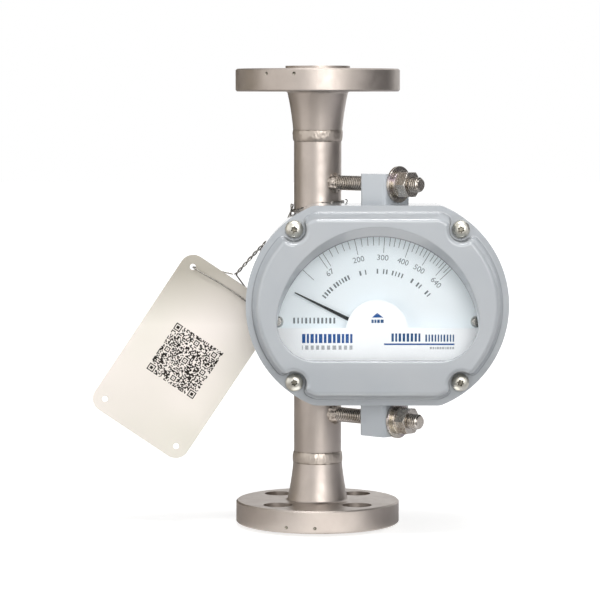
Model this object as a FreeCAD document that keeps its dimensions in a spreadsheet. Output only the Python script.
import FreeCAD, Part
import math
import os
import re
import Sketcher
from FreeCAD import Placement, Rotation, Vector

# A flanged rotameter: a straight meter run with a float inside, and a dial indicator
# hung on two studs in front of it. Millimetres. The origin is on the tube axis, in the
# plane of the lower flange's raised face. X is to the viewer's right, +Y is away from
# the viewer and +Z is up. A "depth" is a distance from the tube axis towards the viewer.

DOC = FreeCAD.newDocument("Rotameter")

SIZES = [
    # meter run
    ("face_to_face", 250.0, "between the two raised faces"),
    ("bore_diameter", 15.8, "flange bore"),
    ("raised_face_diameter", 34.9, "gasket face"),
    ("raised_face_height", 1.6, "gasket face above the rim"),
    ("rim_diameter", 88.9, "flange outside"),
    ("rim_thickness", 12.2, "flange rim without its raised face"),
    ("rim_chamfer", 0.8, "broken edge of the rim"),
    ("bolt_circle", 60.3, "pitch circle of the flange bolts"),
    ("bolt_hole_diameter", 15.9, "flange bolt hole"),
    ("bolt_count", 4, "bolts in each flange"),
    ("neck_taper", 2.9, "weld neck's radius at the rim beyond its tip"),
    ("neck_step", 0.45, "weld neck's tip beyond the tube"),
    ("neck_length", 20.6, "rim to weld"),
    ("neck_fillet", 1.5, "fillet between neck and rim"),
    ("neck_sweep", 160.0, "radius of the neck's hollow flank"),
    ("weld_width", 6.3, "weld bead along the tube"),
    ("weld_crown", 8.0, "radius of the bead's crown"),
    ("tube_wall", 2.0, "meter tube wall"),
    # float and what guides it
    ("sliding_gap", 0.06, "radial running clearance of shafts and the float"),
    ("assembly_gap", 0.03, "radial clearance of pieces pushed together"),
    ("stop_gap", 0.4, "left between the float and its stops"),
    ("guide_height", 8.0, "guide ring along the tube"),
    ("guide_ring_wall", 1.6, "guide ring"),
    ("guide_rib_width", 1.8, "each rib of a guide"),
    ("guide_rib_count", 3, "ribs of a guide"),
    ("hub_wall", 1.47, "hub of a guide round the rod's foot"),
    ("hub_floor", 2.0, "closed end of a hub's hole"),
    ("rod_diameter", 3.0, "guide rod"),
    ("rod_shoulder", 1.5, "rod's foot and stop sleeve beyond the rod"),
    ("float_seat", 57.6, "height of the rod's shoulder under the float"),
    ("float_length", 36.0, "float"),
    ("float_travel", 57.0, "from no flow to full flow"),
    ("float_step", 1.7, "float's measuring edge beyond its neck"),
    ("float_edge_height", 4.0, "cylinder of the measuring edge"),
    ("float_nose", 5.0, "tapered foot of the float"),
    ("float_wall", 1.2, "float shell round its magnet"),
    ("float_cap_height", 3.0, "plug that closes the float"),
    ("float_magnet_wall", 1.78, "ring magnet in the float"),
    ("float_magnet_length", 18.0, "ring magnet in the float"),
    ("float_gap", 0.45, "radial gap for the flow round the float at its lowest"),
    ("cone_foot_wall", 2.87, "measuring cone at its narrow lower end"),
    ("cone_top_wall", 0.82, "measuring cone at its wide upper end"),
    # studs and their nuts
    ("stud_angle", 40.0, "studs turned from the right towards the viewer, degrees"),
    ("stud_diameter", 8.0, "threaded stud"),
    ("stud_proud", 5.7, "stud end beyond its nut"),
    ("stud_chamfer", 1.0, "stud end"),
    ("upper_stud_rise", 10.5, "upper stud above the housing"),
    ("lower_stud_drop", 9.9, "lower stud below the housing"),
    ("stud_weld_diameter", 12.5, "fillet weld at a stud's root"),
    ("stud_weld_length", 2.6, "fillet weld along a stud"),
    ("stud_weld_sink", 3.1, "start of the fillet weld inside the tube's outside"),
    ("washer_diameter", 19.4, "flat washer"),
    ("washer_thickness", 1.5, "flat washer"),
    ("spring_washer_diameter", 14.8, "spring lock washer"),
    ("spring_washer_thickness", 1.9, "spring lock washer"),
    ("spring_washer_slit", 1.2, "gap in a spring lock washer"),
    ("nut_flats", 13.0, "hex nut across flats"),
    ("nut_thickness", 6.5, "hex nut"),
    ("nut_face_diameter", 12.7, "round face inside a nut's chamfer"),
    ("nut_chamfer_angle", 30.0, "nut chamfer from the face, degrees"),
    # indicator housing
    ("housing_x", 31.3, "middle of the housing and the dial"),
    ("housing_brow", 10.7, "window's top to the housing's flat top"),
    ("housing_chin", 24.3, "window's bottom to the housing's flat bottom"),
    ("housing_cheek", 3.65, "housing side beyond the window's round top"),
    ("housing_side_offset", 12.56, "centre of a round side from the middle"),
    ("housing_corner", 8.0, "radius between flat and round side"),
    ("back_depth", 15.0, "outside of the back wall"),
    ("casing_length", 34.2, "rear casing, back to front"),
    ("casing_wall", 3.0, "rear casing wall"),
    ("casing_back_edge", 3.0, "rounded back edge"),
    ("gasket_thickness", 0.8, "cover gasket"),
    ("gasket_inset", 0.5, "cover gasket from the outside"),
    ("cover_rim_thickness", 5.0, "cover flange"),
    ("cover_rim_width", 3.7, "flat border of the cover"),
    ("cover_rise", 11.0, "raised middle of the cover"),
    ("cover_draft", 14.0, "slope of the raised wall, degrees"),
    ("cover_corner", 8.6, "corners of the raised middle"),
    ("cover_edge", 2.4, "rounded front edge of the raised middle"),
    ("cover_wall", 3.0, "raised wall"),
    ("cover_front_wall", 4.5, "front wall round the window"),
    ("lug_near", 38.0, "near face of a lug from the tube axis"),
    ("lug_far", 55.3, "far face of a lug from the tube axis"),
    ("lug_width", 21.9, "lug across"),
    ("lug_corner", 2.2, "rounded upright edges of a lug"),
    ("lug_hole_diameter", 9.0, "stud hole of a lug"),
    ("upper_lug_top", 5.6, "upper lug above its stud"),
    ("lower_lug_bottom", 8.5, "lower lug below its stud"),
    ("lug_root", 1.5, "lug sunk into the housing wall"),
    ("screw_inset", 5.72, "cover screw from the housing's round side"),
    ("screw_angle", 52.4, "cover screw round a side from the horizontal, degrees"),
    ("screw_diameter", 5.0, "cover screw thread"),
    ("screw_hole_diameter", 5.5, "cover screw hole"),
    ("screw_head_diameter", 9.4, "cover screw head"),
    ("screw_head_height", 3.6, "cover screw head"),
    ("screw_head_side", 1.1, "upright side of a cover screw head"),
    ("screw_head_top", 6.3, "flat top of a cover screw head, across"),
    ("screw_length", 17.0, "cover screw under its head"),
    ("screw_socket_diameter", 3.6, "six-lobed socket"),
    ("screw_socket_depth", 1.8, "six-lobed socket"),
    ("boss_diameter", 10.4, "screw boss in the casing"),
    ("pocket_radius", 6.5, "recess of the raised middle round a screw"),
    ("pocket_flare", 3.0, "rounded ends of that recess"),
    # window
    ("window_radius", 52.8, "round top of the window, at the front"),
    ("window_rise", 7.1, "centre of that round top above the pointer axis"),
    ("window_drop", 10.1, "flat bottom of the window below the pointer axis"),
    ("window_corner", 22.0, "lower corners of the window"),
    ("window_bevel", 5.3, "bevel at the window's top"),
    ("window_inner_corner", 17.3, "lower corners behind the bevel"),
    ("window_edge", 0.9, "rounded front edge of the window"),
    ("seal_thickness", 1.0, "window seal"),
    ("seal_margin", 2.6, "glass and seal beyond the opening"),
    ("glass_thickness", 3.0, "window glass"),
    # dial
    ("dial_gap", 5.0, "dial plate off the movement bracket"),
    ("dial_thickness", 1.0, "dial plate"),
    ("dial_margin", 5.0, "dial plate beyond the round top of the window"),
    ("dial_skirt", 8.9, "dial and name plates below the window"),
    ("dial_corner", 34.0, "lower corners of the dial and name plates"),
    ("dial_screw_outset", -0.3, "dial screws outside the window's round top"),
    ("dial_screw_rise", 9.0, "dial screws above the pointer axis"),
    ("dial_screw_head_diameter", 6.4, "dial screw head"),
    ("dial_screw_head_height", 1.8, "dial screw head"),
    ("dial_screw_head_side", 0.4, "upright side of a dial screw head"),
    ("dial_screw_head_top", 4.2, "flat top of a dial screw head, across"),
    ("dial_screw_socket_diameter", 2.1, "round socket of a dial screw"),
    ("dial_screw_socket_depth", 0.9, "round socket of a dial screw"),
    ("dial_screw_diameter", 3.0, "dial screw thread"),
    ("dial_screw_length", 8.0, "dial screw under its head"),
    ("post_flats", 7.0, "hexagonal dial post across flats"),
    ("name_plate_gap", 1.8, "name plate off the pointer"),
    ("name_plate_thickness", 0.9, "name plate"),
    ("name_plate_rise", 6.0, "straight top edge of the name plate above the pointer axis"),
    ("name_plate_bump", 16.3, "round top over the pointer's hub"),
    ("name_plate_bump_rise", 4.6, "centre of that round top above the pointer axis"),
    ("name_screw_x", 28.0, "name plate screw from the middle"),
    ("name_screw_rise", 3.6, "name plate screws above the plate's bottom"),
    ("spacer_diameter", 6.0, "name plate spacer"),
    # movement
    ("pivot_z", 106.0, "pointer axis"),
    ("pointer_rest_angle", 26.4, "pointer above the horizontal at no flow, degrees"),
    ("pointer_length", 49.8, "pointer tip from its axis, along the blade"),
    ("pointer_tail", 10.0, "blade beyond its axis"),
    ("pointer_offset", 2.2, "blade to one side of the axis"),
    ("pointer_tip_width", 0.5, "blade at its tip"),
    ("pointer_root_width", 2.6, "blade at its tail"),
    ("pointer_thickness", 0.4, "blade"),
    ("pointer_hub_gap", 0.8, "pointer's hub off the dial"),
    ("pointer_hub_diameter", 9.0, "hub that carries the blade"),
    ("pointer_hub_height", 1.4, "hub that carries the blade"),
    ("shaft_diameter", 3.0, "pointer shaft"),
    ("collar_diameter", 7.0, "collars on the shaft"),
    ("rear_collar_height", 3.9, "collar behind the follower arm"),
    ("front_collar_height", 2.4, "collar in front of the damping disc"),
    ("end_gap", 0.3, "end play of the shaft"),
    ("bracket_thickness", 2.0, "movement bracket"),
    ("bracket_width", 22.0, "movement bracket, up and down"),
    ("bracket_web_x", 24.0, "bracket's web from the pointer axis"),
    ("bracket_nose", 9.0, "bracket beyond the pointer axis"),
    ("bearing_diameter", 6.0, "bearing bush"),
    ("bearing_flange_diameter", 8.0, "bearing bush flange"),
    ("bearing_flange_height", 0.8, "bearing bush flange"),
    ("arm_thickness", 1.6, "follower arm"),
    ("arm_width", 5.0, "follower arm"),
    ("arm_eye_height", 2.0, "follower arm's eye in front of the arm"),
    ("arm_rest_angle", 44.0, "follower arm below the horizontal at no flow, degrees"),
    ("follower_magnet_diameter", 10.0, "follower magnet"),
    ("follower_magnet_height", 4.0, "follower magnet"),
    ("follower_magnet_gap", 1.4, "follower magnet above the casing's bottom wall at no flow"),
    ("counterweight_radius", 14.0, "counterweight from the pointer axis"),
    ("counterweight_diameter", 12.0, "counterweight"),
    ("counterweight_height", 3.2, "counterweight"),
    ("disc_diameter", 32.0, "damping disc"),
    ("disc_thickness", 1.0, "damping disc"),
    ("counterweight_gap", 0.4, "counterweight off the brake magnet"),
    ("brake_gap", 0.8, "brake magnet to damping disc"),
    ("brake_jaw", 2.5, "each jaw of the brake magnet"),
    ("brake_height", 10.0, "brake magnet, up and down"),
    ("brake_reach", 10.0, "brake magnet over the disc"),
    ("bracket_screw_z", 7.0, "bracket screws above and below the pointer axis"),
    ("bracket_screw_x", 18.0, "bracket screws from the pointer axis"),
    # identification tag
    ("tag_width", 60.0, "tag across"),
    ("tag_length", 100.0, "tag along"),
    ("tag_thickness", 1.0, "tag"),
    ("tag_corner", 7.5, "rounded corners of the tag"),
    ("tag_hole_diameter", 3.3, "holes of the tag"),
    ("tag_hole_inset", 6.8, "holes from the tag's edges"),
    ("tag_tilt", 33.75, "tag's long axis from upright, degrees"),
    ("tag_reach", 58.45, "middle of the tag left of the wire loop"),
    ("tag_drop", 83.0, "middle of the tag below the wire loop"),
    ("tag_depth", 8.0, "middle of the tag's thickness"),
    ("wire_diameter", 1.6, "twisted tag wire over both strands"),
    ("strand_diameter", 0.8, "one strand of the tag wire"),
    ("loop_drop", 11.3, "wire loop round the tube below the upper stud"),
    ("loop_gap", 0.1, "wire loop off the tube"),
]

ALIASES = {alias for alias, value, meaning in SIZES}

# Derived sizes and places, as expressions of the sheet's sizes. The rod, the float, the
# measuring cone and the tube are worked out from the inside outwards.
ROD_FOOT_RADIUS = "(rod_diameter / 2 + rod_shoulder)"
FLOAT_BORE_RADIUS = "(rod_diameter / 2 + sliding_gap)"
FLOAT_NECK_RADIUS = (f"({FLOAT_BORE_RADIUS} + 2 * float_wall + 2 * assembly_gap"
                     " + float_magnet_wall)")
FLOAT_EDGE_RADIUS = f"({FLOAT_NECK_RADIUS} + float_step)"
CONE_INLET_RADIUS = f"({FLOAT_EDGE_RADIUS} + float_gap)"
LINER_RADIUS = f"({CONE_INLET_RADIUS} + cone_foot_wall)"
TUBE_BORE_RADIUS = f"({LINER_RADIUS} + assembly_gap)"
TUBE_RADIUS = f"({TUBE_BORE_RADIUS} + tube_wall)"
NECK_TIP_RADIUS = f"({TUBE_RADIUS} + neck_step)"
NECK_BASE_RADIUS = f"({NECK_TIP_RADIUS} + neck_taper)"
NECK_END = "(raised_face_height + rim_thickness + neck_length)"
TUBE_START = f"({NECK_END} + weld_width)"
FLOAT_REST = "(float_seat + stop_gap)"
SLEEVE_START = "(float_seat + 2 * stop_gap + float_length + float_travel)"
UPPER_GUIDE_START = f"(face_to_face - {NECK_END} - guide_height)"

WINDOW_Z = "(pivot_z + window_rise)"
WINDOW_BOTTOM = "(pivot_z - window_drop)"
WINDOW_INNER_TOP = f"({WINDOW_Z} + window_radius - window_bevel)"
# The round top and the lower corners meet at the same slope before and behind the bevel.
WINDOW_SLOPE = "((window_corner - window_rise - window_drop) / (window_radius - window_corner))"
WINDOW_INNER_RADIUS = (f"(({WINDOW_INNER_TOP} - {WINDOW_BOTTOM} - window_inner_corner"
                       f" * (1 + {WINDOW_SLOPE})) / (1 - {WINDOW_SLOPE}))")
WINDOW_INNER_Z = f"({WINDOW_INNER_TOP} - {WINDOW_INNER_RADIUS})"

HOUSING_TOP = f"({WINDOW_Z} + window_radius + housing_brow)"
HOUSING_BOTTOM = f"({WINDOW_BOTTOM} - housing_chin)"
HOUSING_Z = f"(({HOUSING_TOP} + {HOUSING_BOTTOM}) / 2)"
HOUSING_FLAT = f"(({HOUSING_TOP} - {HOUSING_BOTTOM}) / 2)"
HOUSING_SIDE = "(window_radius + housing_cheek)"
SCREW_X = f"(housing_side_offset + ({HOUSING_SIDE} - screw_inset) * cos(screw_angle * 1deg))"
SCREW_Z = f"(({HOUSING_SIDE} - screw_inset) * sin(screw_angle * 1deg))"

CASING_FRONT = "(back_depth + casing_length)"
COVER_BACK = f"({CASING_FRONT} + gasket_thickness)"
COVER_RIM = f"({COVER_BACK} + cover_rim_thickness)"
COVER_FRONT = f"({COVER_RIM} + cover_rise)"
WINDOW_BACK = f"({COVER_FRONT} - cover_front_wall)"
GLASS_FRONT = f"({WINDOW_BACK} - seal_thickness)"
CAVITY_BACK = "(back_depth + casing_wall)"

# The movement is stacked from the back wall towards the viewer.
BRACKET_BACK_FACE = f"({CAVITY_BACK} + bracket_thickness)"
REAR_COLLAR = f"({BRACKET_BACK_FACE} + bearing_flange_height + end_gap)"
ARM_BACK = f"({REAR_COLLAR} + rear_collar_height)"
ARM_FRONT = f"({ARM_BACK} + arm_thickness)"
BRAKE_BACK = f"({ARM_FRONT} + counterweight_height + counterweight_gap)"
DISC_BACK = f"({BRAKE_BACK} + brake_jaw + brake_gap)"
DISC_FRONT = f"({DISC_BACK} + disc_thickness)"
FRONT_COLLAR_END = f"({DISC_FRONT} + front_collar_height)"
BRACKET_FRONT = (f"({FRONT_COLLAR_END} + end_gap + bearing_flange_height"
                 " + bracket_thickness)")
ARM_LENGTH = (f"((pivot_z - {HOUSING_BOTTOM} - casing_wall - follower_magnet_gap"
              " - follower_magnet_diameter / 2) / sin(arm_rest_angle * 1deg))")

DIAL_BACK = f"({BRACKET_FRONT} + dial_gap)"
DIAL_FRONT = f"({DIAL_BACK} + dial_thickness)"
POINTER_BACK = f"({DIAL_FRONT} + pointer_hub_gap + pointer_hub_height)"
POINTER_FRONT = f"({POINTER_BACK} + pointer_thickness)"
NAME_PLATE_BACK = f"({POINTER_FRONT} + name_plate_gap)"
NAME_PLATE_FRONT = f"({NAME_PLATE_BACK} + name_plate_thickness)"
DIAL_RADIUS = "(window_radius + dial_margin)"
DIAL_BOTTOM = f"({WINDOW_BOTTOM} - dial_skirt)"
DIAL_SCREW_X = "(window_radius + dial_screw_outset)"
NAME_PLATE_TOP = "(pivot_z + name_plate_rise)"
NAME_PLATE_BUMP_Z = "(pivot_z + name_plate_bump_rise)"

STUD_HEIGHTS = {"upper": f"({HOUSING_TOP} + upper_stud_rise)",
                "lower": f"({HOUSING_BOTTOM} - lower_stud_drop)"}
SPRING_WASHER_START = "(lug_far + washer_thickness)"
NUT_START = f"({SPRING_WASHER_START} + spring_washer_thickness)"
STUD_END = f"({NUT_START} + nut_thickness + stud_proud)"
LOOP_RADIUS = f"({TUBE_RADIUS} + loop_gap + wire_diameter / 2)"
LOOP_HEIGHT = f"({STUD_HEIGHTS['upper']} - loop_drop)"

NEARLY = 1e-4  # edges and planes closer than this are taken to coincide

FRONT = Rotation(Vector(1, 0, 0), 90)
ALONG_X = Rotation(Vector(0, 1, 0), 90)
NUT_TURNED = ALONG_X.multiply(Rotation(Vector(0, 0, 1), 30))
UPRIGHT = Rotation()


def fill_sheet():
    """Write the driving sizes into a spreadsheet, one row each."""
    sheet = DOC.addObject("Spreadsheet::Sheet", "Sizes")
    for row, (alias, value, meaning) in enumerate(SIZES, start=1):
        sheet.set(f"A{row}", alias)
        sheet.set(f"B{row}", str(value))
        sheet.set(f"C{row}", meaning)
        sheet.setAlias(f"B{row}", alias)
    DOC.recompute()
    return sheet


SHEET = fill_sheet()


def on_sheet(expression):
    """Make every alias in an expression refer to the spreadsheet."""
    def refer(word):
        return f"Sizes.{word[0]}" if word[0] in ALIASES else word[0]
    return re.sub(r"[a-z][a-z_]*", refer, expression)


def number(expression):
    """The present value of an expression."""
    return float(SHEET.evalExpression(on_sheet(expression)))


def bind(thing, **expressions):
    """Bind properties of an object to expressions."""
    for name, expression in expressions.items():
        thing.setExpression(name, on_sheet(expression))


def place(thing, x="0", y="0", z="0", turn=UPRIGHT):
    """Turn an object and bind its position."""
    thing.Placement = Placement(Vector(), turn)
    for axis, expression in (("x", x), ("y", y), ("z", z)):
        thing.setExpression(f"Placement.Base.{axis}", on_sheet(expression))


def spin(thing, axis, angle):
    """Bind an object's turn about an axis through its own origin, in degrees."""
    thing.Placement = Placement(thing.Placement.Base, Rotation(axis, number(angle)))
    thing.setExpression("Placement.Rotation.Angle", on_sheet(f"({angle}) * 1deg"))


def name_piece(thing, label):
    """Give a sub-part the label that names its file."""
    thing.Label = label
    return thing


# ---------------------------------------------------------------- primitives


def cylinder(name, diameter, height, x="0", y="0", z="0", turn=UPRIGHT):
    solid = DOC.addObject("Part::Cylinder", name)
    bind(solid, Radius=f"({diameter}) / 2", Height=height)
    place(solid, x, y, z, turn)
    return solid


def box(name, length, width, height, x="0", y="0", z="0"):
    solid = DOC.addObject("Part::Box", name)
    bind(solid, Length=length, Width=width, Height=height)
    place(solid, x, y, z)
    return solid


def cone(name, first_radius, last_radius, height, x):
    """A cone along +X, from its first radius at x to its last."""
    solid = DOC.addObject("Part::Cone", name)
    bind(solid, Radius1=first_radius, Radius2=last_radius, Height=height)
    place(solid, x=x, turn=ALONG_X)
    return solid


def hexagon(name, flats, height, x="0", y="0", z="0", turn=UPRIGHT):
    solid = DOC.addObject("Part::Prism", name)
    solid.Polygon = 6
    bind(solid, Circumradius=f"({flats}) / 2 / cos(30deg)", Height=height)
    place(solid, x, y, z, turn)
    return solid


def cut(name, base, tool):
    result = DOC.addObject("Part::Cut", name)
    result.Base = base
    result.Tool = tool
    return result


def fuse(name, *solids):
    result = DOC.addObject("Part::MultiFuse", name)
    result.Shapes = list(solids)
    return result


def group(label, solids):
    """Identical fasteners, kept as separate solids of one node."""
    result = DOC.addObject("Part::Compound", label)
    result.Links = list(solids)
    return name_piece(result, label)


# ---------------------------------------------------------------- sketches

# A constraint names a sketch's origin as point 1 of geometry -1; point 1 of an edge is its
# start, point 2 its end, and point 3 of a circle its centre.


def arc_through(start, end, radius):
    """The short arc between two points; a negative radius runs clockwise from start to end.

    A sketch keeps every arc counter-clockwise, so a clockwise one is made from its end.
    """
    if radius < 0:
        start, end = end, start
    chord = end - start
    left = Vector(-chord.y, chord.x, 0).normalize()
    rise = math.sqrt(max(radius ** 2 - (chord.Length / 2) ** 2, 0.0))
    centre = (start + end) * 0.5 + left * rise
    return Part.Arc(start, centre - left * abs(radius), end)


def draw(sketch, corners):
    """Draw a closed outline whose corners and arc radii are held by expressions.

    A corner is (x, y), or (x, y, radius) where an arc runs from it to the next one.
    """
    points = [Vector(number(corner[0]), number(corner[1]), 0) for corner in corners]
    edges = []
    for index, corner in enumerate(corners):
        start = points[index]
        end = points[(index + 1) % len(points)]
        if len(corner) == 2:
            edge = sketch.addGeometry(Part.LineSegment(start, end))
            ends = (1, 2)
        else:
            radius = number(corner[2])
            edge = sketch.addGeometry(arc_through(start, end, radius))
            ends = (1, 2) if radius > 0 else (2, 1)
        edges.append((edge, ends))
    for index, (edge, ends) in enumerate(edges):
        following, following_ends = edges[(index + 1) % len(edges)]
        sketch.addConstraint(Sketcher.Constraint(
            "Coincident", edge, ends[1], following, following_ends[0]))
    for index, (corner, (edge, ends)) in enumerate(zip(corners, edges)):
        hold(sketch, "DistanceX", (-1, 1, edge, ends[0]), corner[0])
        hold(sketch, "DistanceY", (-1, 1, edge, ends[0]), corner[1])
        if len(corner) == 3:
            hold(sketch, "Radius", (edge,), f"abs({corner[2]})")


def hold(sketch, kind, what, expression):
    """Add one dimension to a sketch and bind it."""
    index = sketch.addConstraint(Sketcher.Constraint(kind, *what, number(expression)))
    sketch.setExpression(f"Constraints[{index}]", on_sheet(expression))


def draw_circle(sketch, x, y, diameter):
    centre = Vector(number(x), number(y), 0)
    circle = sketch.addGeometry(Part.Circle(centre, Vector(0, 0, 1), number(diameter) / 2))
    hold(sketch, "DistanceX", (-1, 1, circle, 3), x)
    hold(sketch, "DistanceY", (-1, 1, circle, 3), y)
    hold(sketch, "Diameter", (circle,), diameter)


def new_body(label):
    return name_piece(DOC.addObject("PartDesign::Body", label), label)


def sketch_in(body, role, offset="0", spun=None):
    """A sketch on one of the body's origin planes, moved along the plane's normal."""
    sketch = body.newObject("Sketcher::SketchObject", f"{body.Name}_sketch")
    plane = [item for item in body.Origin.OriginFeatures if item.Role == role][0]
    sketch.AttachmentSupport = [(plane, "")]
    sketch.MapMode = "FlatFace"
    if spun:
        axis, angle = spun
        sketch.AttachmentOffset = Placement(Vector(), Rotation(axis, number(angle)))
        sketch.setExpression("AttachmentOffset.Rotation.Angle", on_sheet(f"({angle}) * 1deg"))
    sketch.setExpression("AttachmentOffset.Base.z", on_sheet(offset))
    return sketch


def pad(body, sketch, length, taper=None):
    feature = body.newObject("PartDesign::Pad", f"{body.Name}_pad")
    feature.Profile = sketch
    bind(feature, Length=length)
    if taper:
        bind(feature, TaperAngle=taper)
    return feature


def pocket(body, sketch, length):
    """Cut backwards from the sketch, against its normal."""
    feature = body.newObject("PartDesign::Pocket", f"{body.Name}_pocket")
    feature.Profile = sketch
    bind(feature, Length=length)
    return feature


def turned(label, corners):
    """A body revolved about its own Z axis; corners are (radius, height)."""
    body = new_body(label)
    sketch = sketch_in(body, "XZ_Plane")
    draw(sketch, corners)
    feature = body.newObject("PartDesign::Revolution", f"{label}_turning")
    feature.Profile = sketch
    feature.ReferenceAxis = (sketch, ["V_Axis"])
    feature.Angle = 360
    return body


def round_edges(body, feature, radius, chosen):
    """Fillet the edges of a feature for which chosen(edge) is true."""
    DOC.recompute()
    names = [f"Edge{number_of}" for number_of, edge in enumerate(feature.Shape.Edges, start=1)
             if chosen(edge)]
    fillet = body.newObject("PartDesign::Fillet", f"{body.Name}_fillet")
    fillet.Base = (feature, names)
    bind(fillet, Radius=radius)
    return fillet


def lies_at_depth(edge, depth):
    """Whether an edge lies in the plane at a depth in front of the tube axis."""
    return (abs(edge.BoundBox.YMin + depth) < NEARLY
            and abs(edge.BoundBox.YMax + depth) < NEARLY)


# ---------------------------------------------------------------- meter run


def flange(label):
    """A weld-neck flange with its raised face on z = 0 and its neck upwards."""
    rim_top = "(raised_face_height + rim_thickness)"
    body = turned(label, [
        ("bore_diameter / 2", "0"),
        ("raised_face_diameter / 2", "0"),
        ("raised_face_diameter / 2", "raised_face_height"),
        ("rim_diameter / 2 - rim_chamfer", "raised_face_height"),
        ("rim_diameter / 2", "raised_face_height + rim_chamfer"),
        ("rim_diameter / 2", f"{rim_top} - rim_chamfer"),
        ("rim_diameter / 2 - rim_chamfer", rim_top),
        (f"{NECK_BASE_RADIUS} + neck_fillet", rim_top, "-neck_fillet"),
        (NECK_BASE_RADIUS, f"{rim_top} + neck_fillet", "-neck_sweep"),
        (NECK_TIP_RADIUS, NECK_END),
        ("bore_diameter / 2", NECK_END),
    ])
    sketch = sketch_in(body, "XY_Plane", rim_top)
    first = "180deg / bolt_count"
    draw_circle(sketch, f"bolt_circle / 2 * cos({first})", f"bolt_circle / 2 * sin({first})",
                "bolt_hole_diameter")
    hole = pocket(body, sketch, rim_top)
    holes = body.newObject("PartDesign::PolarPattern", f"{label}_holes")
    holes.Originals = [hole]
    holes.Axis = ([item for item in body.Origin.OriginFeatures if item.Role == "Z_Axis"][0], [""])
    holes.Angle = 360
    bind(holes, Occurrences="bolt_count")
    body.Tip = holes
    return body


def meter_run():
    flange("lower_flange")
    place(flange("upper_flange"), z="face_to_face", turn=Rotation(Vector(1, 0, 0), 180))
    ring = [
        (TUBE_BORE_RADIUS, TUBE_START),
        (TUBE_RADIUS, TUBE_START),
        (TUBE_RADIUS, f"face_to_face - {TUBE_START}"),
        (TUBE_BORE_RADIUS, f"face_to_face - {TUBE_START}"),
    ]
    turned("meter_tube", ring)
    weld_bead("lower_weld")
    place(weld_bead("upper_weld"), z="face_to_face", turn=Rotation(Vector(1, 0, 0), 180))


def weld_bead(label):
    """The crowned bead between a flange's neck and the tube."""
    return turned(label, [
        (TUBE_BORE_RADIUS, NECK_END),
        (NECK_TIP_RADIUS, NECK_END, "weld_crown"),
        (TUBE_RADIUS, TUBE_START),
        (TUBE_BORE_RADIUS, TUBE_START),
    ])


# ---------------------------------------------------------------- float and guides


def guide(label):
    """A ring on ribs round a hub; it starts at z = 0."""
    ring = cut(f"{label}_ring", cylinder(f"{label}_rim", f"2 * {LINER_RADIUS}", "guide_height"),
               cylinder(f"{label}_way", f"2 * ({LINER_RADIUS} - guide_ring_wall)", "guide_height"))
    hub = cylinder(f"{label}_hub", f"2 * ({ROD_FOOT_RADIUS} + assembly_gap + hub_wall)",
                   "guide_height")
    ribs = []
    for index in range(int(number("guide_rib_count"))):
        rib = box(f"{label}_rib_{index}", f"{LINER_RADIUS} - guide_ring_wall / 2",
                  "guide_rib_width", "guide_height", y="-guide_rib_width / 2")
        turned_rib = group(f"{label}_rib_turned_{index}", [rib])
        spin(turned_rib, Vector(0, 0, 1), f"360 * {index} / guide_rib_count")
        ribs.append(turned_rib)
    return fuse(f"{label}_star", ring, hub, *ribs)


def guides():
    """The lower guide holds the rod's foot, the upper one the rod's top end."""
    depth = "guide_height - hub_floor"
    hole = cylinder("lower_hub_hole", f"2 * ({ROD_FOOT_RADIUS} + assembly_gap)", depth,
                    z="hub_floor")
    lower = name_piece(cut("lower_guide", guide("low"), hole), "lower_guide")
    place(lower, z=NECK_END)
    hole = cylinder("upper_hub_hole", "rod_diameter + 2 * assembly_gap", depth)
    upper = name_piece(cut("upper_guide", guide("high"), hole), "upper_guide")
    place(upper, z=UPPER_GUIDE_START)


def measuring_cone():
    """The liner whose bore widens upwards, held between the two guides."""
    start = f"({NECK_END} + guide_height)"
    turned("measuring_cone", [
        (CONE_INLET_RADIUS, start),
        (LINER_RADIUS, start),
        (LINER_RADIUS, UPPER_GUIDE_START),
        (f"{LINER_RADIUS} - cone_top_wall", UPPER_GUIDE_START),
    ])


def guide_rod():
    """The rod that the float slides on, and the sleeve that stops it at full flow."""
    foot = f"({NECK_END} + hub_floor)"
    top = f"({UPPER_GUIDE_START} + guide_height - hub_floor)"
    turned("guide_rod", [
        ("0", foot),
        (ROD_FOOT_RADIUS, foot),
        (ROD_FOOT_RADIUS, "float_seat"),
        ("rod_diameter / 2", "float_seat"),
        ("rod_diameter / 2", top),
        ("0", top),
    ])
    turned("stop_sleeve", ring_section(
        "rod_diameter / 2 + assembly_gap", ROD_FOOT_RADIUS, SLEEVE_START, UPPER_GUIDE_START))


def float_pieces():
    """The float's shell, its ring magnet and its cap, at rest on the lower stop."""
    pit = "(float_length - float_cap_height - float_magnet_length)"
    inner_wall = f"({FLOAT_BORE_RADIUS} + float_wall)"
    outer_wall = f"({FLOAT_NECK_RADIUS} - float_wall)"
    edge = "(float_nose + float_edge_height)"
    shell = turned("float_body", [
        (FLOAT_BORE_RADIUS, "0"),
        (FLOAT_NECK_RADIUS, "0"),
        (FLOAT_EDGE_RADIUS, "float_nose"),
        (FLOAT_EDGE_RADIUS, edge),
        (FLOAT_NECK_RADIUS, f"{edge} + float_step"),
        (FLOAT_NECK_RADIUS, "float_length"),
        (outer_wall, "float_length"),
        (outer_wall, pit),
        (inner_wall, pit),
        (inner_wall, "float_length"),
        (FLOAT_BORE_RADIUS, "float_length"),
    ])
    room = (f"{inner_wall} + assembly_gap", f"{outer_wall} - assembly_gap")
    magnet_top = f"{pit} + float_magnet_length"
    magnet = turned("float_magnet", ring_section(*room, pit, magnet_top))
    cap = turned("float_cap", ring_section(*room, magnet_top, "float_length"))
    for piece in (shell, magnet, cap):
        place(piece, z=FLOAT_REST)


def ring_section(inner, outer, low, high):
    """The section of a plain ring."""
    return [(inner, low), (outer, low), (outer, high), (inner, high)]


# ---------------------------------------------------------------- studs and nuts


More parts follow.
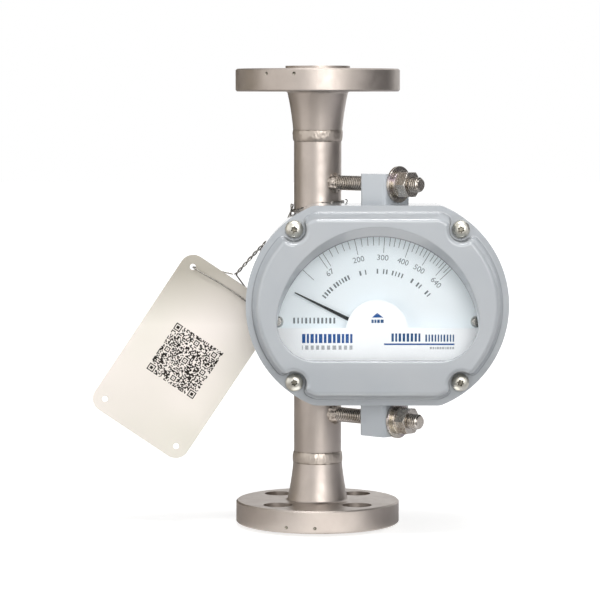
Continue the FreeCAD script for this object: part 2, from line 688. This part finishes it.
def on_both_studs(label, make):
    """Two copies of a fastener made along +X, one on each stud."""
    copies = []
    for level in ("upper", "lower"):
        piece = make(f"{level}_{label}")
        place(piece, z=STUD_HEIGHTS[level])
        spin(piece, Vector(0, 0, 1), "-stud_angle")
        copies.append(piece)
    return group(label, copies)


def stud(name):
    """A threaded stud with the fillet weld at its root, cut to the tube's round."""
    thread = cylinder(f"{name}_thread", "stud_diameter", f"{STUD_END} - stud_chamfer",
                      turn=ALONG_X)
    tip = cone(f"{name}_tip", "stud_diameter / 2", "stud_diameter / 2 - stud_chamfer",
               "stud_chamfer", f"{STUD_END} - stud_chamfer")
    weld = cone(f"{name}_weld", "stud_weld_diameter / 2", "stud_diameter / 2",
                "stud_weld_sink + stud_weld_length", f"{TUBE_RADIUS} - stud_weld_sink")
    tube = cylinder(f"{name}_tube", f"2 * {TUBE_RADIUS}", "2 * stud_weld_diameter",
                    z="-stud_weld_diameter")
    return cut(name, fuse(f"{name}_blank", thread, tip, weld), tube)


def washer(name, diameter, thickness, start):
    """A flat ring round a stud."""
    disc = cylinder(f"{name}_disc", diameter, thickness, x=start, turn=ALONG_X)
    hole = cylinder(f"{name}_hole", "stud_diameter + 2 * assembly_gap", thickness, x=start,
                    turn=ALONG_X)
    return cut(name, disc, hole)


def spring_washer(name):
    """A spring washer with its slit."""
    whole = washer(f"{name}_ring", "spring_washer_diameter", "spring_washer_thickness",
                   SPRING_WASHER_START)
    slit = box(f"{name}_slit", "spring_washer_thickness", "spring_washer_diameter",
               "spring_washer_slit", x=SPRING_WASHER_START, z="-spring_washer_slit / 2")
    return cut(name, whole, slit)


def nut(name):
    """A hex nut with its outer face chamfered."""
    prism = hexagon(f"{name}_hex", "nut_flats", "nut_thickness", x=NUT_START, turn=NUT_TURNED)
    blunt = DOC.addObject("Part::Common", f"{name}_blunt")
    blunt.Base = prism
    blunt.Tool = cone(f"{name}_chamfer",
                      "nut_face_diameter / 2 + nut_thickness / tan(nut_chamfer_angle * 1deg)",
                      "nut_face_diameter / 2", "nut_thickness", NUT_START)
    hole = cylinder(f"{name}_hole", "stud_diameter + 2 * assembly_gap", "nut_thickness",
                    x=NUT_START, turn=ALONG_X)
    return cut(name, blunt, hole)


def studs_and_nuts():
    on_both_studs("studs", stud)
    on_both_studs("stud_washers", lambda name: washer(
        name, "washer_diameter", "washer_thickness", "lug_far"))
    on_both_studs("stud_spring_washers", spring_washer)
    on_both_studs("stud_nuts", nut)


# ---------------------------------------------------------------- indicator housing


def housing_outline(inset, corner=None):
    """The flat-topped, round-sided outline, moved inwards by an inset.

    Its corners keep the housing's own centres, or have the radius that is given.
    """
    corner = f"({corner or f'housing_corner - ({inset})'})"
    side = f"({HOUSING_SIDE} - ({inset}))"
    flat = f"({HOUSING_FLAT} - ({inset}))"
    lean_x = f"sqrt(({side} - {corner})^2 - ({flat} - {corner})^2)"
    reach = f"{side} / ({side} - {corner})"
    flat_x = f"(housing_side_offset + {lean_x})"
    side_x = f"(housing_side_offset + {lean_x} * {reach})"
    side_z = f"(({flat} - {corner}) * {reach})"
    return [
        (f"housing_x - {flat_x}", f"{HOUSING_Z} - {flat}"),
        (f"housing_x + {flat_x}", f"{HOUSING_Z} - {flat}", corner),
        (f"housing_x + {side_x}", f"{HOUSING_Z} - {side_z}", side),
        (f"housing_x + {side_x}", f"{HOUSING_Z} + {side_z}", corner),
        (f"housing_x + {flat_x}", f"{HOUSING_Z} + {flat}"),
        (f"housing_x - {flat_x}", f"{HOUSING_Z} + {flat}", corner),
        (f"housing_x - {side_x}", f"{HOUSING_Z} + {side_z}", side),
        (f"housing_x - {side_x}", f"{HOUSING_Z} - {side_z}", corner),
    ]


def window_outline(radius, centre_z, bottom, corner):
    """A round top over a flat bottom with rounded lower corners."""
    corner_z = f"({bottom} + {corner})"
    corner_x = f"sqrt(({radius} - {corner})^2 - ({corner_z} - {centre_z})^2)"
    reach = f"({radius}) / ({radius} - {corner})"
    side_x = f"({corner_x} * {reach})"
    side_z = f"({centre_z} + ({corner_z} - {centre_z}) * {reach})"
    return [
        (f"housing_x - {corner_x}", bottom),
        (f"housing_x + {corner_x}", bottom, corner),
        (f"housing_x + {side_x}", side_z, radius),
        (f"housing_x - {side_x}", side_z, corner),
    ]


def grown_window(margin):
    """The opening behind the bevel, made larger all round by a margin."""
    return window_outline(f"({WINDOW_INNER_RADIUS} + {margin})", WINDOW_INNER_Z,
                          f"({WINDOW_BOTTOM} - {margin})", f"(window_inner_corner + {margin})")


def cover_screw_places():
    return [(f"housing_x {across} {SCREW_X}", f"{HOUSING_Z} {up} {SCREW_Z}")
            for across in "+-" for up in "+-"]


def slab(body, corners, depth, length, taper=None):
    """Pad an outline towards the viewer, from a depth."""
    sketch = sketch_in(body, "XZ_Plane", depth)
    draw(sketch, corners)
    return pad(body, sketch, length, taper)


def hollow(body, corners, depth, length):
    """Pocket an outline away from the viewer, from a depth."""
    sketch = sketch_in(body, "XZ_Plane", depth)
    draw(sketch, corners)
    return pocket(body, sketch, length)


def circles_in(body, places, diameter, depth):
    sketch = sketch_in(body, "XZ_Plane", depth)
    for x, z in places:
        draw_circle(sketch, x, z, diameter)
    return sketch


def lug(body, bottom, top):
    """A block on the housing's flat, square to its stud, with rounded upright edges."""
    sketch = sketch_in(body, "XY_Plane", bottom, (Vector(0, 0, 1), "-stud_angle"))
    half = "(lug_width / 2)"
    draw(sketch, [
        ("lug_near + lug_corner", f"-{half}"),
        ("lug_far - lug_corner", f"-{half}", "lug_corner"),
        ("lug_far", f"-{half} + lug_corner"),
        ("lug_far", f"{half} - lug_corner", "lug_corner"),
        ("lug_far - lug_corner", half),
        ("lug_near + lug_corner", half, "lug_corner"),
        ("lug_near", f"{half} - lug_corner"),
        ("lug_near", f"-{half} + lug_corner", "lug_corner"),
    ])
    pad(body, sketch, f"{top} - {bottom}")


def rear_casing():
    """The cast shell behind the dial, with its screw bosses and its two lugs."""
    body = new_body("rear_casing")
    shell = slab(body, housing_outline("0"), "back_depth", "casing_length")
    back = number("back_depth")
    round_edges(body, shell, "casing_back_edge", lambda edge: lies_at_depth(edge, back))
    hollow(body, housing_outline("casing_wall"), CASING_FRONT, "casing_length - casing_wall")
    boss_start = "back_depth + casing_wall / 2"
    pad(body, circles_in(body, cover_screw_places(), "boss_diameter", boss_start),
        f"{CASING_FRONT} - ({boss_start})")
    pocket(body, circles_in(body, cover_screw_places(), "screw_diameter + 2 * assembly_gap",
                            CASING_FRONT),
           "screw_length - cover_rim_thickness - gasket_thickness + stop_gap")
    lug(body, f"({HOUSING_TOP} - lug_root)", f"({STUD_HEIGHTS['upper']} + upper_lug_top)")
    lug(body, f"({STUD_HEIGHTS['lower']} - lower_lug_bottom)", f"({HOUSING_BOTTOM} + lug_root)")
    beyond = "(lug_far + lug_root)"
    holes = sketch_in(body, "YZ_Plane", f"{beyond} * cos(stud_angle * 1deg)",
                      (Vector(0, 1, 0), "-stud_angle"))
    holes.setExpression("AttachmentOffset.Base.x", on_sheet(f"-{beyond} * sin(stud_angle * 1deg)"))
    for height in STUD_HEIGHTS.values():
        draw_circle(holes, "0", height, "lug_hole_diameter")
    pocket(body, holes, "lug_far - lug_near + 2 * lug_root")


def cover_gasket():
    """The flat seal between the casing and the cover."""
    body = new_body("cover_gasket")
    slab(body, housing_outline("gasket_inset"), CASING_FRONT, "gasket_thickness")
    hollow(body, housing_outline("casing_wall"), COVER_BACK, "gasket_thickness")


def front_cover():
    """The cast cover: a flat border, a raised middle and the bevelled window in it."""
    body = new_body("cover_blank")
    slab(body, housing_outline("0"), COVER_BACK, "cover_rim_thickness")
    slab(body, housing_outline("cover_rim_width", "cover_corner"), COVER_RIM, "cover_rise",
         "-cover_draft")
    recess = pocket(body, circles_in(body, cover_screw_places(), "2 * pocket_radius", COVER_FRONT),
                    "cover_rise")
    rim, front = number(COVER_RIM), number(COVER_FRONT)

    def ends_recess(edge):
        ends = [vertex.Point for vertex in edge.Vertexes]
        depths = sorted(-point.y for point in ends)
        return (abs(depths[0] - rim) < NEARLY and abs(depths[-1] - front) < NEARLY
                and all(near_a_screw(point) for point in ends))

    flared = round_edges(body, recess, "pocket_flare", ends_recess)
    round_edges(body, flared, "cover_edge", lambda edge: lies_at_depth(edge, front))
    window = sketch_in(body, "XZ_Plane", COVER_FRONT)
    draw(window, window_outline("window_radius", WINDOW_Z, WINDOW_BOTTOM, "window_corner"))
    inner = sketch_in(body, "XZ_Plane", WINDOW_BACK)
    draw(inner, grown_window("0"))
    opening = body.newObject("PartDesign::SubtractiveLoft", "window_opening")
    opening.Profile = window
    opening.Sections = [inner]
    opening.Ruled = True
    reach = number("window_radius + window_edge")
    middle = Vector(number("housing_x"), -front, number(WINDOW_Z))

    def on_window(edge):
        return lies_at_depth(edge, front) and (edge.CenterOfMass - middle).Length < reach

    round_edges(body, opening, "window_edge", on_window)
    pocket(body, circles_in(body, cover_screw_places(), "screw_hole_diameter", COVER_RIM),
           "cover_rim_thickness")
    name_piece(cut("front_cover", body, cover_room()), "front_cover")


def near_a_screw(point):
    """Whether a point lies on the recess round one of the cover screws."""
    return any(abs(math.hypot(point.x - number(x), point.z - number(z))
                   - number("pocket_radius")) < NEARLY for x, z in cover_screw_places())


def cover_room():
    """The room inside the cover, with the walls round its screws left standing."""
    room = new_body("cover_room")
    inset = ("(cover_rim_width + cover_wall"
             " + (cover_rise - cover_front_wall) * tan(cover_draft * 1deg))")
    slab(room, housing_outline(inset, "(cover_corner - cover_wall)"), COVER_BACK,
         f"{WINDOW_BACK} - {COVER_BACK}")
    start = f"({COVER_RIM} - cover_wall)"
    bosses = [cylinder(f"cover_boss_{index}", "2 * (pocket_radius + cover_wall)",
                       f"{WINDOW_BACK} - {start}", x, f"-{start}", z, FRONT)
              for index, (x, z) in enumerate(cover_screw_places())]
    return cut("cover_room_left", room, fuse("cover_bosses", *bosses))


def cover_screws():
    """Pan heads with a round socket, and the shanks that reach into the bosses."""
    group("cover_screws", [pan_screw(f"cover_screw_{index}", "screw", x, z, COVER_RIM)
                           for index, (x, z) in enumerate(cover_screw_places())])


def pan_screw(name, kind, x, z, depth):
    """A pan-head screw whose head sits on a face at a depth; its kind names its sizes."""
    head, top = f"({kind}_head_diameter / 2)", f"({kind}_head_top / 2)"
    shank, socket = f"({kind}_diameter / 2)", f"({kind}_socket_diameter / 2)"
    height = f"{kind}_head_height"
    body = turned(name, [
        ("0", f"-{kind}_length"),
        (shank, f"-{kind}_length"),
        (shank, "0"),
        (head, "0"),
        (head, f"{kind}_head_side", head),
        (top, height),
        (socket, height),
        (socket, f"{height} - {kind}_socket_depth"),
        ("0", f"{height} - {kind}_socket_depth"),
    ])
    place(body, x=x, y=f"-({depth})", z=z, turn=FRONT)
    return body


def window_pieces():
    """The seal behind the window's edge and the glass on it."""
    seal = new_body("window_seal")
    slab(seal, grown_window("seal_margin"), GLASS_FRONT, "seal_thickness")
    hollow(seal, grown_window("0"), WINDOW_BACK, "seal_thickness")
    glass = new_body("window_glass")
    slab(glass, grown_window("seal_margin"), f"{GLASS_FRONT} - glass_thickness", "glass_thickness")


# ---------------------------------------------------------------- dial


def dial_screw_places():
    return [(f"housing_x {across} {DIAL_SCREW_X}", "pivot_z + dial_screw_rise")
            for across in "+-"]


def name_screw_places():
    return [(f"housing_x {across} name_screw_x", f"{DIAL_BOTTOM} + name_screw_rise")
            for across in "+-"]


def dial_pieces():
    """The dial plate on its two hexagonal posts."""
    thread_hole = "dial_screw_diameter + 2 * assembly_gap"
    dial = new_body("dial_plate")
    slab(dial, window_outline(DIAL_RADIUS, WINDOW_Z, DIAL_BOTTOM, "dial_corner"),
         DIAL_BACK, "dial_thickness")
    pocket(dial, circles_in(dial, dial_screw_places() + name_screw_places(), thread_hole,
                            DIAL_FRONT), "dial_thickness")
    pocket(dial, circles_in(dial, [("housing_x", "pivot_z")], "collar_diameter", DIAL_FRONT),
           "dial_thickness")
    posts = []
    for index, (x, z) in enumerate(dial_screw_places()):
        blank = hexagon(f"dial_post_blank_{index}", "post_flats", f"{DIAL_BACK} - {CAVITY_BACK}",
                        x, f"-{CAVITY_BACK}", z, FRONT)
        hole = cylinder(f"dial_post_hole_{index}", thread_hole, "dial_screw_length", x,
                        f"dial_screw_length - {DIAL_BACK}", z, FRONT)
        posts.append(cut(f"dial_post_{index}", blank, hole))
    group("dial_posts", posts)
    group("dial_screws", [pan_screw(f"dial_screw_{index}", "dial_screw", x, z, DIAL_FRONT)
                          for index, (x, z) in enumerate(dial_screw_places())])


def name_plate_pieces():
    """The plate in front of the pointer's hub, on two spacers."""
    bump_x = f"sqrt(name_plate_bump^2 - ({NAME_PLATE_TOP} - {NAME_PLATE_BUMP_Z})^2)"
    corner_z = f"({DIAL_BOTTOM} + dial_corner)"
    corner_x = f"sqrt(({DIAL_RADIUS} - dial_corner)^2 - ({corner_z} - {WINDOW_Z})^2)"
    side_x = f"({corner_x} + sqrt(dial_corner^2 - ({corner_z} - {NAME_PLATE_TOP})^2))"
    plate = new_body("name_plate")
    slab(plate, [
        (f"housing_x - {corner_x}", DIAL_BOTTOM),
        (f"housing_x + {corner_x}", DIAL_BOTTOM, "dial_corner"),
        (f"housing_x + {side_x}", NAME_PLATE_TOP),
        (f"housing_x + {bump_x}", NAME_PLATE_TOP, "name_plate_bump"),
        (f"housing_x - {bump_x}", NAME_PLATE_TOP),
        (f"housing_x - {side_x}", NAME_PLATE_TOP, "dial_corner"),
    ], NAME_PLATE_BACK, "name_plate_thickness")
    hole = "dial_screw_diameter + 2 * assembly_gap"
    pocket(plate, circles_in(plate, name_screw_places(), hole, NAME_PLATE_FRONT),
           "name_plate_thickness")
    spacers = []
    for index, (x, z) in enumerate(name_screw_places()):
        tall = f"{NAME_PLATE_BACK} - {DIAL_FRONT}"
        spacers.append(cut(
            f"name_plate_spacer_{index}",
            cylinder(f"spacer_blank_{index}", "spacer_diameter", tall, x, f"-{DIAL_FRONT}", z,
                     FRONT),
            cylinder(f"spacer_hole_{index}", hole, tall, x, f"-{DIAL_FRONT}", z, FRONT)))
    group("name_plate_spacers", spacers)
    group("name_plate_screws", [
        pan_screw(f"name_screw_{index}", "dial_screw", x, z, NAME_PLATE_FRONT)
        for index, (x, z) in enumerate(name_screw_places())])


# ---------------------------------------------------------------- movement


def movement_bracket():
    """A U of sheet metal: a foot on the casing's back wall, a web and a front leg."""
    low = "pivot_z - bracket_width / 2"
    web_x = "(housing_x + bracket_web_x)"
    long = "(bracket_web_x + bracket_nose)"
    left = "housing_x - bracket_nose"
    foot = box("bracket_foot", long, "bracket_thickness", "bracket_width",
               left, f"-{BRACKET_BACK_FACE}", low)
    web = box("bracket_web", "bracket_thickness", f"{BRACKET_FRONT} - {CAVITY_BACK}",
              "bracket_width", f"{web_x} - bracket_thickness", f"-{BRACKET_FRONT}", low)
    leg = box("bracket_leg", long, "bracket_thickness", "bracket_width",
              left, f"-{BRACKET_FRONT}", low)
    holes = [cylinder("rear_bearing_hole", "bearing_diameter + 2 * assembly_gap",
                      "bracket_thickness", "housing_x", f"-{CAVITY_BACK}", "pivot_z", FRONT),
             cylinder("front_bearing_hole", "bearing_diameter + 2 * assembly_gap",
                      "bracket_thickness", "housing_x", f"bracket_thickness - {BRACKET_FRONT}",
                      "pivot_z", FRONT)]
    for index, (x, z) in enumerate(bracket_screw_places()):
        holes.append(cylinder(f"bracket_screw_hole_{index}",
                              "dial_screw_diameter + 2 * assembly_gap", "bracket_thickness", x,
                              f"-{CAVITY_BACK}", z, FRONT))
    blank = fuse("bracket_blank", foot, web, leg)
    name_piece(cut("movement_bracket", blank, fuse("bracket_holes", *holes)), "movement_bracket")
    screws = []
    for index, (x, z) in enumerate(bracket_screw_places()):
        head = cylinder(f"bracket_screw_head_{index}", "dial_screw_head_diameter",
                        "dial_screw_head_height", x, f"-{BRACKET_BACK_FACE}", z, FRONT)
        shank = cylinder(f"bracket_screw_shank_{index}", "dial_screw_diameter", "bracket_thickness",
                         x, f"-{CAVITY_BACK}", z, FRONT)
        screws.append(fuse(f"bracket_screw_{index}", head, shank))
    group("bracket_screws", screws)


def bracket_screw_places():
    return [("housing_x + bracket_screw_x", f"pivot_z {up} bracket_screw_z") for up in "+-"]


def bearing(label, depth, flange_first):
    """A flanged bush in the bracket, with its flange on the side away from it."""
    body = turned(label, [
        ("shaft_diameter / 2 + sliding_gap", "0"),
        ("bearing_diameter / 2", "0"),
        ("bearing_diameter / 2", "bracket_thickness"),
        ("bearing_flange_diameter / 2", "bracket_thickness"),
        ("bearing_flange_diameter / 2", "bracket_thickness + bearing_flange_height"),
        ("shaft_diameter / 2 + sliding_gap", "bracket_thickness + bearing_flange_height"),
    ])
    turn = Rotation(Vector(1, 0, 0), -90) if flange_first else FRONT
    place(body, x="housing_x", y=depth, z="pivot_z", turn=turn)
    return body


def on_pivot(piece, depth):
    """Put a piece made along +Z on the pointer axis, towards the viewer from a depth."""
    place(piece, x="housing_x", y=f"-({depth})", z="pivot_z", turn=FRONT)
    return piece


def pointer_shaft():
    """The shaft in its two bearings, with the collars that keep its end play."""
    start = f"({CAVITY_BACK} + end_gap)"
    section = [("0", start)]
    for radius, low, high in (("shaft_diameter", start, REAR_COLLAR),
                              ("collar_diameter", REAR_COLLAR, ARM_BACK),
                              ("shaft_diameter", ARM_BACK, DISC_FRONT),
                              ("collar_diameter", DISC_FRONT, FRONT_COLLAR_END),
                              ("shaft_diameter", FRONT_COLLAR_END, POINTER_FRONT)):
        section += [(f"{radius} / 2", low), (f"{radius} / 2", high)]
    section.append(("0", POINTER_FRONT))
    on_pivot(turned("pointer_shaft", section), "0")


def follower():
    """The arm that carries the magnet on one end and the counterweight on the other."""
    body = new_body("follower_blade")
    sketch = sketch_in(body, "XY_Plane")
    half = "(arm_width / 2)"
    draw(sketch, [
        (f"-{ARM_LENGTH}", f"-{half}"),
        ("counterweight_radius", f"-{half}"),
        ("counterweight_radius", half),
        (f"-{ARM_LENGTH}", half),
    ])
    pad(body, sketch, "arm_thickness")
    eye = cylinder("follower_eye", "collar_diameter", "arm_thickness + arm_eye_height")
    hole = cylinder("follower_hole", "shaft_diameter + 2 * assembly_gap",
                    "arm_thickness + arm_eye_height")
    arm = name_piece(cut("follower_arm", fuse("follower_blank", body, eye), hole), "follower_arm")
    magnet = on_arm("follower_magnet", "follower_magnet_diameter", "follower_magnet_height",
                    f"-{ARM_LENGTH}")
    weight = on_arm("counterweight", "counterweight_diameter", "counterweight_height",
                    "counterweight_radius")
    lean_on_pivot(arm, ARM_BACK, "arm_rest_angle")
    lean_on_pivot(magnet, f"{ARM_BACK} - follower_magnet_height", "arm_rest_angle")
    lean_on_pivot(weight, ARM_FRONT, "arm_rest_angle")


def on_arm(label, diameter, height, along):
    """A round piece at a distance along the arm, whose lean on the pivot is left free."""
    return group(label, [cylinder(f"{label}_blank", diameter, height, x=along)])


def lean_on_pivot(piece, depth, angle):
    """Put a piece on the pivot and lean its left end down by an angle, in degrees."""
    on_pivot(piece, depth)
    lean = Rotation(Vector(0, 1, 0), -number(angle)).multiply(FRONT)
    piece.Placement = Placement(piece.Placement.Base, lean)
    upright = "rotation(0; 0; 90)"
    piece.setExpression("Placement.Rotation",
                        on_sheet(f"rotation(0; -({angle}); 0) * {upright}"))


def damping():
    """The eddy-current disc on the shaft and the magnet that it turns in."""
    ring = turned("damping_disc", ring_section(
        "shaft_diameter / 2 + assembly_gap", "disc_diameter / 2", "0", "disc_thickness"))
    on_pivot(ring, DISC_BACK)
    gap = "(disc_thickness + 2 * brake_gap)"
    web = "(housing_x + bracket_web_x - bracket_thickness)"
    near = "(housing_x + disc_diameter / 2 - brake_reach)"
    block = box("brake_block", f"{web} - {near}", f"{gap} + 2 * brake_jaw", "brake_height", near,
                f"-({DISC_FRONT} + brake_gap + brake_jaw)",
                "pivot_z - brake_height / 2")
    slot = box("brake_slot", "brake_reach + brake_gap", gap, "brake_height", near,
               f"-({DISC_FRONT} + brake_gap)", "pivot_z - brake_height / 2")
    name_piece(cut("brake_magnet", block, slot), "brake_magnet")


def pointer():
    """The black blade, offset from its axis, and the hub that carries it."""
    blade = new_body("pointer_blade")
    sketch = sketch_in(blade, "XY_Plane")
    draw(sketch, [
        ("-pointer_length", "pointer_offset - pointer_tip_width / 2"),
        ("pointer_tail", "pointer_offset - pointer_root_width / 2"),
        ("pointer_tail", "pointer_offset + pointer_root_width / 2"),
        ("-pointer_length", "pointer_offset + pointer_tip_width / 2"),
    ])
    pad(blade, sketch, "pointer_thickness")
    eye = cylinder("pointer_eye", "pointer_hub_diameter", "pointer_thickness")
    hole = cylinder("pointer_hole", "shaft_diameter + 2 * assembly_gap", "pointer_thickness")
    blank = fuse("pointer_blank", blade, eye)
    lean_on_pivot(name_piece(cut("pointer", blank, hole), "pointer"), POINTER_BACK,
                  "-pointer_rest_angle")
    hub = turned("pointer_hub", ring_section(
        "shaft_diameter / 2 + assembly_gap", "pointer_hub_diameter / 2", "0", "pointer_hub_height"))
    on_pivot(hub, f"{POINTER_BACK} - pointer_hub_height")


def movement():
    movement_bracket()
    bearing("rear_bearing", f"-{CAVITY_BACK}", False)
    bearing("front_bearing", f"-{BRACKET_FRONT}", True)
    pointer_shaft()
    follower()
    damping()
    pointer()


# ---------------------------------------------------------------- tag and its wire


def identification_tag():
    """A rounded sheet-metal tag with a hole in each corner."""
    body = new_body("identification_tag")
    sketch = sketch_in(body, "XZ_Plane", "-tag_thickness / 2")
    wide = "(tag_width / 2)"
    tall = "(tag_length / 2)"
    draw(sketch, [
        (f"-{wide} + tag_corner", f"-{tall}"),
        (f"{wide} - tag_corner", f"-{tall}", "tag_corner"),
        (wide, f"-{tall} + tag_corner"),
        (wide, f"{tall} - tag_corner", "tag_corner"),
        (f"{wide} - tag_corner", tall),
        (f"-{wide} + tag_corner", tall, "tag_corner"),
        (f"-{wide}", f"{tall} - tag_corner"),
        (f"-{wide}", f"-{tall} + tag_corner", "tag_corner"),
    ])
    pad(body, sketch, "tag_thickness")
    places = [(f"{across}({wide} - tag_hole_inset)", f"{up}({tall} - tag_hole_inset)")
              for across in ("", "-") for up in ("", "-")]
    pocket(body, circles_in(body, places, "tag_hole_diameter", "tag_thickness / 2"),
           "tag_thickness")
    hang_tag(body)


def hang_tag(piece):
    """Put a piece made round the tag's middle at the tag's place and tilt."""
    place(piece, x=f"-({LOOP_RADIUS} + tag_reach)", y="-tag_depth", z=f"{LOOP_HEIGHT} - tag_drop")
    spin(piece, Vector(0, 1, 0), "tag_tilt")


# The twisted wire, from the loop's left side down to the middle of the tag's top edge.
WIRE_RUN = [
    Vector(0.15, -1.8, -0.2),
    Vector(-2.15, -4.4, -6.2),
    Vector(-5.65, -7.0, -12.2),
    Vector(-10.55, -7.9, -18.4),
    Vector(-16.45, -8.4, -24.2),
    Vector(-23.65, -8.2, -31.9),
    Vector(-30.85, -8.0, -38.8),
]

# The bridle, from the tag's middle (across, towards the viewer, along): behind the tag to the
# left hole, through it, across the front, back through the right hole and up again.
WIRE_BRIDLE = [
    Vector(-3.0, 0.1, 52.0),
    Vector(-8.0, -1.1, 50.0),
    Vector(-15.5, -1.6, 46.8),
    Vector(-21.4, -1.7, 43.9),
    Vector(-23.6, 0.2, 43.0),
    Vector(-21.2, 1.6, 43.1),
    Vector(-11.0, 1.3, 43.9),
    Vector(0.0, 1.2, 44.3),
    Vector(11.0, 1.3, 43.8),
    Vector(21.2, 1.6, 43.0),
    Vector(23.6, 0.2, 43.0),
    Vector(21.4, -1.7, 44.0),
    Vector(14.5, -1.6, 46.9),
    Vector(6.0, -1.1, 49.8),
    Vector(-1.2, 0.1, 52.6),
]


def rounded_wire(points):
    """Straight runs joined by tangent arcs, each as large as its two runs allow."""
    edges = []
    start = points[0]
    for before, here, after in zip(points, points[1:], points[2:]):
        back = before - here
        ahead = after - here
        shorter = min(back.Length, ahead.Length)
        back.normalize()
        ahead.normalize()
        setback = 0.45 * shorter
        half_turn = (math.pi - back.getAngle(ahead)) / 2
        radius = setback / math.tan(half_turn)
        to_centre = (back + ahead).normalize() * (radius / math.cos(half_turn) - radius)
        first = here + back * setback
        last = here + ahead * setback
        edges.append(Part.LineSegment(start, first).toShape())
        edges.append(Part.Arc(first, here + to_centre, last).toShape())
        start = last
        print(f"  arc radius {radius:.2f}")
    edges.append(Part.LineSegment(start, points[-1]).toShape())
    return Part.Wire(edges)


def wire_tube(label, points, diameter):
    """A round wire along a route; its solid is checked against section times length."""
    print(label)
    path = rounded_wire(points)
    radius = number(diameter) / 2
    start = path.Edges[0].valueAt(path.Edges[0].FirstParameter)
    ahead = path.Edges[0].tangentAt(path.Edges[0].FirstParameter)
    section = Part.Wire([Part.makeCircle(radius, start, ahead)])
    solid = path.makePipeShell([section], True, False, 2)
    expected = math.pi * radius ** 2 * path.Length
    print(f"  length {path.Length:.2f}, volume {solid.Volume:.3f}, expected {expected:.3f}")
    piece = DOC.addObject("Part::Feature", label)
    piece.Shape = solid
    return name_piece(piece, label)


def tag_wire():
    """The loop round the tube, the twisted run and the bridle through the tag's holes."""
    loop = DOC.addObject("Part::Torus", "wire_loop")
    bind(loop, Radius1=LOOP_RADIUS, Radius2="wire_diameter / 2")
    place(loop, z=LOOP_HEIGHT)
    name_piece(loop, "wire_loop")
    run = wire_tube("wire_run", WIRE_RUN, "wire_diameter")
    place(run, x=f"-{LOOP_RADIUS}", z=LOOP_HEIGHT)
    towards_viewer = [Vector(point.x, -point.y, point.z) for point in WIRE_BRIDLE]
    hang_tag(wire_tube("wire_bridle", towards_viewer, "strand_diameter"))


# ---------------------------------------------------------------- the whole instrument

NODES = [
    "lower_flange", "upper_flange", "meter_tube", "lower_weld", "upper_weld",
    "lower_guide", "upper_guide", "measuring_cone", "guide_rod", "stop_sleeve",
    "float_body", "float_magnet", "float_cap",
    "studs", "stud_washers", "stud_spring_washers", "stud_nuts",
    "rear_casing", "cover_gasket", "front_cover", "cover_screws", "window_seal", "window_glass",
    "dial_plate", "dial_posts", "dial_screws",
    "name_plate", "name_plate_spacers", "name_plate_screws",
    "movement_bracket", "bracket_screws", "rear_bearing", "front_bearing", "brake_magnet",
    "pointer_shaft", "pointer_hub", "pointer", "follower_arm", "follower_magnet",
    "counterweight", "damping_disc",
    "identification_tag", "wire_loop", "wire_run", "wire_bridle",
]


def check_document():
    """Stop if any object of the document failed to recompute."""
    failed = [item.Name for item in DOC.Objects
              if "Invalid" in item.State or "Error" in item.State]
    if failed:
        raise RuntimeError(f"objects that failed: {failed}")


def export():
    """Check every sub-part and write it to its own STEP file."""
    os.makedirs("parts", exist_ok=True)
    for label in NODES:
        shape = DOC.getObjectsByLabel(label)[0].Shape
        if shape.isNull() or not shape.isValid() or not shape.Solids:
            raise RuntimeError(f"{label} is not a valid solid")
        print(f"{label}: {len(shape.Solids)} solids, {shape.Volume:.1f} mm3")
        shape.exportStep(f"parts/{label}.step")


meter_run()
guides()
measuring_cone()
guide_rod()
float_pieces()
studs_and_nuts()
rear_casing()
cover_gasket()
front_cover()
cover_screws()
window_pieces()
dial_pieces()
name_plate_pieces()
movement()
identification_tag()
tag_wire()
DOC.recompute()
check_document()
export()
